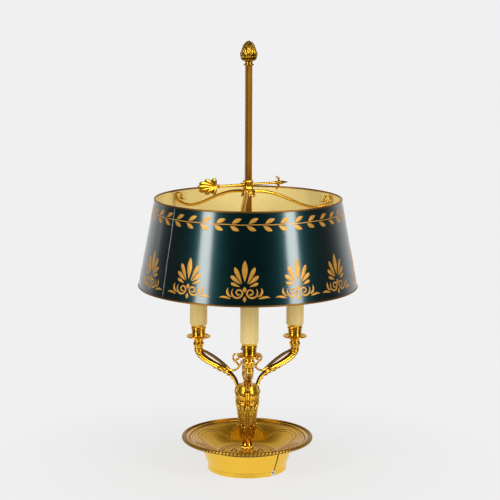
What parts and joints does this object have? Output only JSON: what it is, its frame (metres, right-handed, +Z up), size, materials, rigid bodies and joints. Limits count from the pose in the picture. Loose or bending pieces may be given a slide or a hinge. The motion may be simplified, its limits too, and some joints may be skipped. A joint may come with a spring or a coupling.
{
  "type": "bouillotte lamp",
  "caption": "Brass table lamp: candle arms over a dished base, with a metal shade that slides on a square upright and is clamped by an arrow-shaped key.",
  "frame": {"origin": "on the lamp's axis, at the level the foot stands on", "axes": "+Z up along the upright; -Y towards the first candle, which is the side the lamp is seen from"},
  "size_m": [0.3233, 0.3234, 0.6356],
  "materials": {
    "gilt_brass": "polished cast and turned brass",
    "aged_brass": "polished, darkened in the hollows",
    "green_tole": "dark green lacquer outside, cream lacquer inside",
    "iron": "as cast",
    "board": "raw fibreboard",
    "baize": "green baize",
    "pale_plastic": "moulded",
    "steel": "zinc plated",
    "porcelain": "white glaze",
    "candle_card": "smooth waxed card",
    "cap_metal": "spun",
    "frosted_glass": "frosted"
  },
  "bodies": {
    "lamp": {"foot_band": "gilt_brass", "base_dish": "gilt_brass", "dish_border": "aged_brass", "base_weight": "iron", "base_board": "board", "felt_pad": "baize", "cord_bushing": "pale_plastic", "wire_connector": "pale_plastic", "tie_tube": "steel", "tube_nut": "steel", "tube_washer": "steel", "stem_foot": "gilt_brass", "stem_neck": "gilt_brass", "stem_quiver": "gilt_brass", "stem_crown": "gilt_brass", "rod_baluster": "gilt_brass", "upright_rod": "gilt_brass", "finial": "gilt_brass", "candle_arm_1": "gilt_brass", "candle_arm_2": "gilt_brass", "candle_arm_3": "gilt_brass", "arm_knop_1": "gilt_brass", "arm_knop_2": "gilt_brass", "arm_knop_3": "gilt_brass", "drip_pan_1": "gilt_brass", "drip_pan_2": "gilt_brass", "drip_pan_3": "gilt_brass", "candle_cup_1": "gilt_brass", "candle_cup_2": "gilt_brass", "candle_cup_3": "gilt_brass", "cup_screw": "aged_brass", "nipples": "steel", "nipple_nuts": "steel", "holder_bracket_1": "steel", "holder_bracket_2": "steel", "holder_bracket_3": "steel", "lamp_holder_1": "porcelain", "lamp_holder_2": "porcelain", "lamp_holder_3": "porcelain", "candle_sleeve_1": "candle_card", "candle_sleeve_2": "candle_card", "candle_sleeve_3": "candle_card", "bulb_cap_1": "cap_metal", "bulb_cap_2": "cap_metal", "bulb_cap_3": "cap_metal", "bulb_glass_1": "frosted_glass", "bulb_glass_2": "frosted_glass", "bulb_glass_3": "frosted_glass"},
    "shade_carrier": {"collar": "gilt_brass", "spider_hub": "gilt_brass", "spider_arm_1": "gilt_brass", "spider_arm_2": "gilt_brass", "spider_arm_3": "gilt_brass", "shade_panel": "green_tole", "shade_top_rim": "aged_brass", "shade_bottom_rim": "aged_brass", "arrow_head": "gilt_brass"},
    "clamp_shoe": {"clamp_pad": "steel"},
    "key": {"arrow_key": "gilt_brass"}
  },
  "joints": [
    {"name": "shade_height", "type": "slide", "parent": "lamp", "child": "shade_carrier", "axis": [0, 0, 1], "range_m": [-0.045, 0.16]},
    {"name": "key_advance", "type": "slide", "parent": "shade_carrier", "child": "clamp_shoe", "axis": [-0.891, -0.454, 0], "range_m": [0, 0.0008]},
    {"name": "arrow_turn", "type": "hinge", "parent": "clamp_shoe", "child": "key", "pos_m": [0, 0, 0.42664], "axis": [-0.891, -0.454, 0], "range_deg": [0, 360]}
  ],
  "couplings": [
    {"joint": "arrow_turn", "follows": "key_advance", "rad_per_m": 7854}
  ]
}
